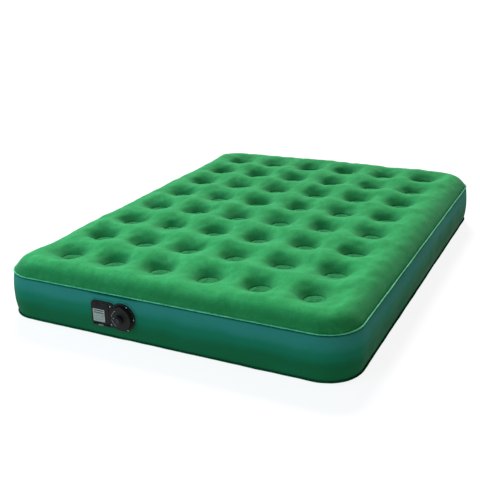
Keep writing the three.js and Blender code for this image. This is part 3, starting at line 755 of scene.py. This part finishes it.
def bead_section(z, tip, droop):
    """A thin welded flange with a rounded, slightly thicker rim."""
    rim = 1.7 * MM
    return [
        (0.2 * MM, z - 0.9 * MM), (4.5 * MM, z - 0.8 * MM + droop / 2),
        *arc((tip - rim, z + droop), rim, -120, 120, 8),
        (4.5 * MM, z + 0.8 * MM + droop / 2), (0.2 * MM, z + 0.9 * MM),
    ]


def make_beads():
    top = ring_along_seam("top_bead", bead_section(SEAM_Z, 5.5 * MM, -1.0 * MM), 41, 0.5 * MM)
    finish_piece(top, "mattress", "seam_bead", "top_seam_bead")
    base = ring_along_seam("base_bead", bead_section(BASE_Z, 8 * MM, -1.0 * MM), 43, 0.4 * MM)
    finish_piece(base, "mattress", "side_vinyl", "bottom_seam_bead")


# ---- pump shapes
# Outlines on the pump's face are lists of (x, h) in millimetres, and d is the way out of the wall.
def face_point(x, d, h):
    return (x * MM, WALL_Y - d * MM, h * MM)


def arc(centre, radius, start, stop, steps):
    """Points on an arc from one angle to another, in degrees."""
    angles = np.radians(np.linspace(start, stop, steps + 1))
    return [(centre[0] + radius * math.cos(a), centre[1] + radius * math.sin(a)) for a in angles]


def circle(centre, radius, count):
    return arc(centre, radius, 0, 360, count)[:-1]


def rounded_box(x0, h0, x1, h1, r, steps=8):
    centres = [(x1 - r, h1 - r), (x0 + r, h1 - r), (x0 + r, h0 + r), (x1 - r, h0 + r)]
    return [p for k, centre in enumerate(centres) for p in arc(centre, r, 90 * k, 90 * k + 90, steps)]


def turned(points, degrees, place):
    """Points turned about the origin, then moved to a place."""
    c, s = math.cos(math.radians(degrees)), math.sin(math.radians(degrees))
    return [(place[0] + x * c - h * s, place[1] + x * s + h * c) for x, h in points]


def face_ring(name, section):
    """A closed section of (inset, d) points carried round the face's outline."""
    angle = np.linspace(0, 2 * math.pi, 240, endpoint=False)
    rings = [[face_point(x / MM, d, h / MM) for x, h in face_ray(angle, i * MM)] for i, d in section]
    return swept(name, rings, 40)


def lathe(name, profile, segments, centre, smooth):
    """A profile of (radius, d) turned about a point of the face. It closes on itself if it ends
    where it starts, and otherwise both its ends are capped."""
    open_ended = profile[0] != profile[-1]
    rings = [
        [face_point(x, d, h) for x, h in circle(centre, radius, segments)]
        for radius, d in (profile if open_ended else profile[:-1])
    ]
    return swept(name, rings, smooth, capped=open_ended)


def plate(name, outlines, d0, d1, bevel):
    """A flat piece with bevelled edges. The first outline is the outside and the rest are holes."""
    curve = bpy.data.curves.new(name, "CURVE")
    curve.dimensions = "2D"
    curve.fill_mode = "BOTH"
    curve.extrude = ((d1 - d0) / 2 - bevel) * MM
    curve.bevel_depth = bevel * MM
    curve.bevel_resolution = 2
    curve.offset = -bevel * MM
    for outline in outlines:
        spline = curve.splines.new("POLY")
        spline.points.add(len(outline) - 1)
        for point, (x, h) in zip(spline.points, outline):
            point.co = (x * MM, h * MM, 0, 1)
        spline.use_cyclic_u = True
    made = evaluated_copy(new_object(name, curve))
    middle = WALL_Y - (d0 + d1) / 2 * MM
    made.data.transform(Matrix(((1, 0, 0, 0), (0, 0, -1, middle), (0, 1, 0, 0), (0, 0, 0, 1))))
    edit(made.data, merge_close, face_outward)
    shade(made, 20)
    return made


def joined(name, parts, smooth):
    """Several objects as one mesh."""
    obj = mesh_object(name, [], [])
    edit(obj.data, lambda work: [work.from_mesh(part.data) for part in parts])
    for part in parts:
        bpy.data.objects.remove(part)
    shade(obj, smooth)
    return obj


def bevelled(obj, width):
    modifier = obj.modifiers.new("bevel", "BEVEL")
    modifier.width = width * MM
    modifier.segments = 2
    modifier.limit_method = "ANGLE"
    modifier.angle_limit = math.radians(35)
    made = evaluated_copy(obj)
    shade(made, 30)
    return made


def cut_away(obj, tools, smooth):
    for tool in tools:
        modifier = obj.modifiers.new("cut", "BOOLEAN")
        modifier.operation = "DIFFERENCE"
        modifier.solver = "EXACT"
        modifier.object = tool
    made = evaluated_copy(obj)
    for tool in tools:
        bpy.data.objects.remove(tool)
    shade(made, smooth)
    return made


def hinge_lug(x0, x1):
    """A lug that carries the door's pin: a round nose on a flat root."""
    low, high = HINGE[1] - HINGE_RADIUS, HINGE[1] + HINGE_RADIUS
    profile = arc(HINGE, HINGE_RADIUS, -90, 90, 12) + [(7.6, high), (7.6, low)]
    rings = [[face_point(x, *point) for point in profile] for x in (x0, x1)]
    return bevelled(swept("lug", rings, 30, capped=True), 0.3)


def cutter(size, centre, degrees, about):
    """A box, turned about a point of the face."""
    (x, d, h), (wide, deep, tall) = centre, (v / 2 for v in size)
    corners = [(x - wide, h - tall), (x + wide, h - tall), (x + wide, h + tall), (x - wide, h + tall)]
    outline = turned(corners, degrees, about)
    rings = [[face_point(px, depth, ph) for px, ph in outline] for depth in (d - deep, d + deep)]
    return swept("cutter", rings, 30, capped=True)


# ---- pump pieces
FACE_SCREWS = [(-197.5, 150), (-197.5, 74)] + arc(DIAL_PLACE, 53, 62, -62, 2)
LONG_SCREWS = 2  # the first ones, beside the door


def make_collar_and_gasket():
    collar = face_ring("wall_collar", [
        (7.4, 0.3), (7.4, 2.3), (-3.8, 2.3), (-5.4, 2.1), (-6.4, 1.6), (-6.9, 0.9), (-7.0, 0.15),
        (-6.0, 0.1),
    ])
    finish_piece(collar, "mattress", "side_vinyl", "pump_collar")
    gasket = face_ring("rubber_gasket", [
        (7.4, 2.5), (7.4, 4.2), (1.2, 4.2), (0.4, 3.9), (0.2, 3.35), (0.4, 2.8), (1.2, 2.5),
    ])
    finish_piece(gasket, "mattress", "black_rubber", "face_gasket")


def make_face_plate():
    angle = np.linspace(0, 2 * math.pi, 260, endpoint=False)
    outline = [(x / MM, h / MM) for x, h in face_ray(angle, 0.0)]
    holes = [rounded_box(-282.6, 66.4, -205.4, 157.6, 6.4), circle(DIAL_PLACE, 18.2, 48)]
    holes += [circle(place, 1.8, 16) for place in FACE_SCREWS]
    slot = rounded_box(31, -1.7, 42, 1.7, 1.6, 3)
    holes += [turned(slot, 18 + 36 * k, DIAL_PLACE) for k in range(10)]
    face = plate("face", [outline] + holes, 4.4, 8.4, 0.9)
    seat_rim = lathe(
        "seat_rim",
        [(50.4, 8.0), (52.2, 8.0), (52.2, 9.0), (51.7, 9.5), (50.9, 9.5), (50.4, 9.0), (50.4, 8.0)],
        120, DIAL_PLACE, 24,
    )
    lugs = [hinge_lug(x, x + 6) for x in (-279, -215)]
    whole = joined("pump_face", [face, *lugs, seat_rim], 24)
    finish_piece(whole, "mattress", "black_plastic", "face_plate")


def make_door():
    """The CAD door's shape with its edges rounded over."""
    mesh = frame["nodes"]["battery_door"].data.copy()

    def join_flat_faces(work):
        merge_close(work, 0.002 * MM)
        bmesh.ops.dissolve_limit(work, angle_limit=math.radians(1), verts=work.verts, edges=work.edges)

    edit(mesh, join_flat_faces)
    door = bevelled(new_object("door_panel", mesh), 0.45)
    finish_piece(door, "battery_door", "black_plastic", "battery_door")


def make_label():
    label = plate("door_sticker", [rounded_box(-278.5, 78.5, -225.5, 130, 2.5)], 9.7, 10.2, 0.12)
    finish_piece(label, "battery_door", "label", "door_label")


def flute(dial):
    """Shallow flutes round the dial's skirt."""
    low, high = 9.7, 23.4
    for vertex in dial.data.vertices:
        x, y, z = vertex.co
        dx, dz, d = x / MM - DIAL_PLACE[0], z / MM - DIAL_PLACE[1], (WALL_Y - y) / MM
        radius = math.hypot(dx, dz)
        if radius > 45 and low < d < high:
            depth = max(0.0, math.cos(36 * math.atan2(dz, dx))) * 0.7
            fade = min(1.0, (d - low) / 3) * min(1.0, (high - d) / 2)
            scale = 1 - depth * fade / radius
            x, h = DIAL_PLACE[0] + dx * scale, DIAL_PLACE[1] + dz * scale
            vertex.co = (x * MM, y, h * MM)


def make_dial():
    profile = [
        (46.8, 8.7), (49.0, 8.7), (49.0, 9.6), (48.9, 10.4), (48.2, 16.0), (47.4, 21.4), (47.0, 22.6),
        (46.2, 23.5), (45.2, 23.8), (43.4, 23.8), (42.8, 23.5), (42.2, 23.1), (21.0, 23.1),
        (19.4, 23.4), (18.4, 24.4), (17.9, 26.0), (16.7, 36.8), (16.3, 37.9), (15.4, 38.5),
        (12.6, 38.5), (11.9, 38.0), (11.9, 12), (5, 12), (5, 10), (14.5, 10), (14.5, -6),
        (17.7, -6), (17.7, 21), (44, 21), (46.8, 8.7),
    ]
    dial = lathe("dial_cap", profile, 144, DIAL_PLACE, 28)
    flute(dial)
    slots = [cutter((8, 5.0, 2.6), (48, 12.8, 0), 30 * k, DIAL_PLACE) for k in range(12)]
    dial = cut_away(dial, slots, 28)
    finish_piece(dial, "dial", "black_plastic", "dial")


def make_dial_marks():
    """Plain moulded marks on the dial's face: two arcs and a pointer."""
    x, h = DIAL_PLACE
    outlines = [
        arc(DIAL_PLACE, 36.5, start, stop, 19) + arc(DIAL_PLACE, 34.9, stop, start, 19)
        for start, stop in ((118, 172), (190, 242))
    ]
    outlines.append([(x - 31, h), (x - 24, h - 2.8), (x - 24, h + 2.8)])
    marks = [plate("mark", [outline], 22.9, 23.6, 0.15) for outline in outlines]
    finish_piece(joined("dial_marks", marks, 24), "dial", "label", finish="marks")


def make_button():
    profile = [
        (0.2, -11), (3.5, -11), (3.5, 36), (9.6, 36), (9.6, 16), (11.5, 16), (11.5, 40.0),
        (11.3, 41.0), (10.7, 41.7), (9.8, 42.0), (8.9, 41.9), (8.2, 41.4), (7.0, 41.1), (0.2, 40.9),
    ]
    button = lathe("button_cap", profile, 72, DIAL_PLACE, 30)
    finish_piece(button, "power_button", "grey_plastic", "power_button")


def make_screws():
    for number, place in enumerate(FACE_SCREWS, start=1):
        tip = 8.7 - (24 if number <= LONG_SCREWS else 16)
        profile = [
            (0.15, tip), (1.5, tip + 1.5), (1.5, 8.7), (2.5, 8.7), (2.5, 9.2), (2.35, 9.7),
            (1.9, 10.1), (1.2, 10.3), (0.15, 10.35),
        ]
        screw = lathe(f"screw_{number}", profile, 28, place, 30)
        turns = [20 + 17 * number, 110 + 17 * number]
        cross = [cutter((3.0, 1.6, 0.6), (0, 10.5, 0), turn, place) for turn in turns]
        screw = cut_away(screw, cross, 30)
        finish_piece(screw, "mattress", "steel", f"face_screw_{number}")


# ---- materials
class Paint:
    """A material and the few nodes that the finishes here are made of."""

    def __init__(self, name, rough=0.5, specular=0.5, metallic=0.0):
        self.material = bpy.data.materials.new(name)
        self.material.use_nodes = True
        self.tree = self.material.node_tree
        self.shader = self.tree.nodes["Principled BSDF"]
        self.place = self.tree.nodes.new("ShaderNodeTexCoord").outputs["Object"]
        self.set("Roughness", rough)
        self.set("Specular IOR Level", specular)
        self.set("Metallic", metallic)

    def set(self, socket, value):
        """Gives one of the shader's own sockets a number, a colour or a link."""
        self.connect(value, self.shader.inputs[socket])

    def connect(self, value, socket):
        if isinstance(value, (int, float)):
            socket.default_value = value
        elif isinstance(value, tuple):
            socket.default_value = (*value, 1) if socket.type == "RGBA" else value
        else:
            self.tree.links.new(value, socket)

    def node(self, kind, inputs, **settings):
        """A new node, with its inputs given by name or by number."""
        node = self.tree.nodes.new("ShaderNode" + kind)
        for name, value in settings.items():
            setattr(node, name, value)
        for socket, value in inputs.items():
            self.connect(value, node.inputs[socket])
        return node

    def noise(self, scale, detail=3, rough=0.5, distortion=0.0, stretch=None):
        place = self.place
        if stretch:
            place = self.node("Mapping", {"Scale": stretch, "Vector": place}).outputs["Vector"]
        inputs = {"Scale": scale, "Detail": detail, "Roughness": rough, "Distortion": distortion}
        return self.node("TexNoise", {**inputs, "Vector": place}).outputs["Fac"]

    def math(self, operation, *values):
        return self.node("Math", dict(enumerate(values)), operation=operation).outputs[0]

    def axis(self, letter):
        return self.node("SeparateXYZ", {0: self.place}).outputs[letter]

    def remap(self, *values):
        """A smooth step. The values are the input, its range, and the range it is mapped to."""
        inputs = dict(enumerate(values))
        return self.node("MapRange", inputs, interpolation_type="SMOOTHSTEP").outputs[0]

    def ramp(self, value, *stops):
        node = self.node("ValToRGB", {0: value})
        node.color_ramp.interpolation = "EASE"
        elements = node.color_ramp.elements
        while len(elements) < len(stops):
            elements.new(1.0)
        for element, (position, color) in zip(elements, stops):
            element.position = position
            element.color = (*color, 1)
        return node.outputs["Color"]

    def two_tone(self, value, dark, light, full=0.7):
        return self.ramp(value, (0.3, dark), (full, light))

    def mix(self, share, a, b, blend="MIX"):
        node = self.node("Mix", {0: share}, data_type="RGBA", blend_type=blend)
        first, second = [socket for socket in node.inputs if socket.type == "RGBA"]
        self.connect(a, first)
        self.connect(b, second)
        return [socket for socket in node.outputs if socket.type == "RGBA"][0]

    def bump(self, height, strength, distance, **under):
        inputs = {"Strength": strength, "Distance": distance, "Height": height, **under}
        return self.node("Bump", inputs).outputs["Normal"]

    def finished(self, color, normal=None):
        self.set("Base Color", color)
        if normal:
            self.set("Normal", normal)
        return self.material


def flock_with_painted_shade():
    paint = Paint("green_flock", rough=0.92, specular=0.08)
    fibre = paint.noise(900, 2, 0.6)
    speckle = paint.noise(260, 3, 0.6)
    patch = paint.noise(15, 5, 0.62, 0.8)
    nap = paint.noise(1, 4, 0.6, stretch=(60, 17, 40))
    tone = paint.math("MULTIPLY_ADD", patch, 0.5, paint.math("MULTIPLY", nap, 0.25))
    tone = paint.math("MULTIPLY_ADD", fibre, 0.10, tone)
    tone = paint.math("MULTIPLY_ADD", speckle, 0.55, tone)
    shadow, green, light = (0.013, 0.225, 0.052), (0.028, 0.330, 0.090), (0.062, 0.465, 0.158)
    color = paint.ramp(tone, (0.46, shadow), (0.70, green), (0.96, light))
    # Painted shade: the flock's colour is darkened towards the bottom of each dimple, to 0.62 of itself at
    # the weld discs' height.
    painted_dimple_shade = paint.remap(paint.axis("Z"), DISC_Z, CROWN_Z - 8 * MM, 0.62, 1.0)
    color = paint.mix(1.0, color, paint.mix(painted_dimple_shade, (0, 0, 0), (1, 1, 1)), "MULTIPLY")
    paint.set("Sheen Weight", 0.20)
    paint.set("Sheen Roughness", 0.45)
    paint.set("Sheen Tint", (0.28, 0.72, 0.50))
    crease = paint.bump(paint.noise(26, 6, 0.68, 1.2), 0.12, 2.5 * MM)
    return paint.finished(color, paint.bump(fibre, 0.35, 0.5 * MM, Normal=crease))


def side_vinyl_with_painted_light():
    paint = Paint("green_side_vinyl", specular=0.01)
    # Painted light: the wall runs from a dark green low down, a painted shade, to a bluish teal high up, a
    # painted reflection; the cloud mottle on it is the vinyl's own.
    height = paint.remap(paint.axis("Z"), BASE_Z + 40 * MM, SEAM_Z - 20 * MM)
    cloud = paint.noise(7, 4, 0.55, 0.5)
    share = paint.math("MULTIPLY_ADD", cloud, 0.35, paint.math("MULTIPLY_ADD", height, 0.9, -0.12))
    low, middle, high = (0.007, 0.095, 0.036), (0.008, 0.135, 0.072), (0.024, 0.180, 0.142)
    color = paint.ramp(share, (0.0, low), (0.5, middle), (1.0, high))
    # Painted shadow: a dark band along the wall just under the top bead.
    painted_shadow_under_bead = paint.remap(paint.axis("Z"), SEAM_Z - 13 * MM, SEAM_Z - 5 * MM)
    color = paint.mix(painted_shadow_under_bead, color, (0.001, 0.060, 0.035))
    paint.set("Specular Tint", (0.35, 0.95, 0.80))
    paint.set("Roughness", paint.remap(cloud, 0.3, 0.7, 0.50, 0.60))
    slack = paint.bump(paint.noise(9, 3, 0.5, 0.4), 0.12, 6 * MM)
    return paint.finished(color, paint.bump(paint.noise(1400, 2, 0.5), 0.08, 0.2 * MM, Normal=slack))


def base_vinyl_finish():
    paint = Paint("green_base_vinyl", rough=0.6, specular=0.3)
    cloud = paint.noise(9, 4, 0.6)
    color = paint.two_tone(cloud, (0.008, 0.070, 0.048), (0.014, 0.105, 0.072))
    cells = paint.node("TexVoronoi", {"Scale": 260, "Vector": paint.place}, feature="DISTANCE_TO_EDGE")
    emboss = paint.remap(cells.outputs["Distance"], 0.0, 0.12)
    return paint.finished(color, paint.bump(emboss, 0.4, 0.4 * MM))


def bead_finish():
    paint = Paint("pale_green_bead", rough=0.6, specular=0.12)
    cloud = paint.noise(40, 4, 0.6, stretch=(1, 1, 3))
    color = paint.two_tone(cloud, (0.050, 0.360, 0.160), (0.100, 0.520, 0.260))
    return paint.finished(color, paint.bump(paint.noise(500, 3, 0.6), 0.2, 0.4 * MM))


def coil_finish():
    paint = Paint("coil_vinyl", rough=0.55, specular=0.35)
    color = paint.two_tone(paint.noise(18, 4, 0.6), (0.018, 0.105, 0.062), (0.028, 0.145, 0.088))
    return paint.finished(color, paint.bump(paint.noise(700, 3, 0.6), 0.15, 0.3 * MM))


def moulded(name, dark, light, rough, specular=0.45, grain=1500, strength=0.16):
    """Moulded plastic or rubber with a fine grain and faint handling marks."""
    paint = Paint(name, specular=specular)
    smudge = paint.noise(60, 4, 0.6, 0.6)
    paint.set("Roughness", paint.remap(smudge, 0.3, 0.7, rough - 0.05, rough + 0.08))
    relief = paint.bump(paint.noise(grain, 2, 0.5), strength, 0.15 * MM)
    return paint.finished(paint.two_tone(smudge, dark, light, 0.75), relief)


def metal(name, dark, light, rough, stretch):
    paint = Paint(name, metallic=1.0)
    streak = paint.noise(1, 4, 0.6, stretch=stretch)
    paint.set("Roughness", paint.remap(streak, 0.3, 0.7, rough - 0.06, rough + 0.08))
    return paint.finished(paint.two_tone(streak, dark, light), paint.bump(streak, 0.08, 0.1 * MM))


def battery_finish():
    """A plain two-tone wrapper on a steel can."""
    paint = Paint("battery_wrapper", rough=0.35, metallic=0.55)
    depth = paint.math("MULTIPLY_ADD", paint.axis("Y"), -1 / MM, WALL_Y / MM)
    scuff = paint.noise(120, 4, 0.65)
    film = paint.two_tone(scuff, (0.085, 0.090, 0.095), (0.13, 0.135, 0.14))
    cap = paint.two_tone(scuff, (0.30, 0.20, 0.07), (0.42, 0.29, 0.11))
    color = paint.mix(paint.remap(depth, -22.5, -22.0), film, cap)
    return paint.finished(color, paint.bump(scuff, 0.05, 0.1 * MM))


def label_finish():
    """A printed film with two thick bars over rows of fine lines, which spell nothing."""
    paint = Paint("printed_label", rough=0.45, specular=0.4)
    low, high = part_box("door_label")
    h = paint.math("MULTIPLY_ADD", paint.axis("Z"), 1 / MM, -low[2] / MM)
    x = paint.math("MULTIPLY_ADD", paint.axis("X"), 1 / MM, -low[0] / MM)
    tall, wide = (high[2] - low[2]) / MM, (high[0] - low[0]) / MM

    def both(a, b):
        return paint.math("MULTIPLY", a, b)

    def between(value, a, b):
        return both(paint.math("GREATER_THAN", value, a), paint.math("LESS_THAN", value, b))

    bars = paint.math("ADD", between(h, tall - 8.5, tall - 3.5), between(h, tall - 17.5, tall - 12.0))
    row = paint.math("FRACT", paint.math("DIVIDE", h, 3.1))
    words = paint.math("GREATER_THAN", paint.noise(1, 0, 0.5, stretch=(700, 1, 322)), 0.42)
    fine = both(paint.math("LESS_THAN", row, 0.42), words)
    fine = both(fine, between(h, 3.0, tall - 20.0))
    ink = both(paint.math("MAXIMUM", bars, fine), between(x, 3.5, wide - 3.5))
    film = paint.two_tone(paint.noise(90, 3, 0.6), (0.24, 0.29, 0.24), (0.31, 0.37, 0.31))
    return paint.finished(paint.mix(ink, film, (0.035, 0.045, 0.040)))


MOULDED = {
    "black_plastic": ((0.0060, 0.0058, 0.0050), (0.0125, 0.0115, 0.0095), 0.48, 0.14),
    "grey_plastic": ((0.012, 0.012, 0.011), (0.022, 0.022, 0.020), 0.5, 0.2),
    "black_rubber": ((0.008,) * 3, (0.014,) * 3, 0.75, 0.25, 900, 0.1),
    "red_lead": ((0.25, 0.012, 0.010), (0.36, 0.025, 0.018), 0.45),
    "black_lead": ((0.008,) * 3, (0.016,) * 3, 0.45),
    "marks": ((0.16, 0.17, 0.16), (0.24, 0.25, 0.24), 0.5),
}
FINISHES = {
    **{name: moulded(name, *look) for name, look in MOULDED.items()},
    "flock": flock_with_painted_shade(),
    "side_vinyl": side_vinyl_with_painted_light(),
    "base_vinyl": base_vinyl_finish(),
    "seam_bead": bead_finish(),
    "coil_vinyl": coil_finish(),
    "steel": metal("plated_steel", (0.42, 0.43, 0.44), (0.60, 0.61, 0.62), 0.30, (900, 120, 900)),
    "brass": metal("plated_brass", (0.45, 0.33, 0.12), (0.62, 0.48, 0.20), 0.32, (900, 900, 120)),
    "battery_can": battery_finish(),
    "label": label_finish(),
}


def paint_kept_nodes():
    """Each CAD node that still shows takes the finish of its slot."""
    for part in frame["record"]["subparts"]:
        node = frame["nodes"][part["node"]]
        if not node.hide_render:
            node.data.materials.clear()
            node.data.materials.append(FINISHES[part["material_slot"]])


make_camera()
make_studio()
make_top_sheet()
make_bottom_sheet()
make_side_wall()
make_beads()
make_collar_and_gasket()
make_face_plate()
make_door()
make_label()
make_dial()
make_dial_marks()
make_button()
make_screws()
paint_kept_nodes()
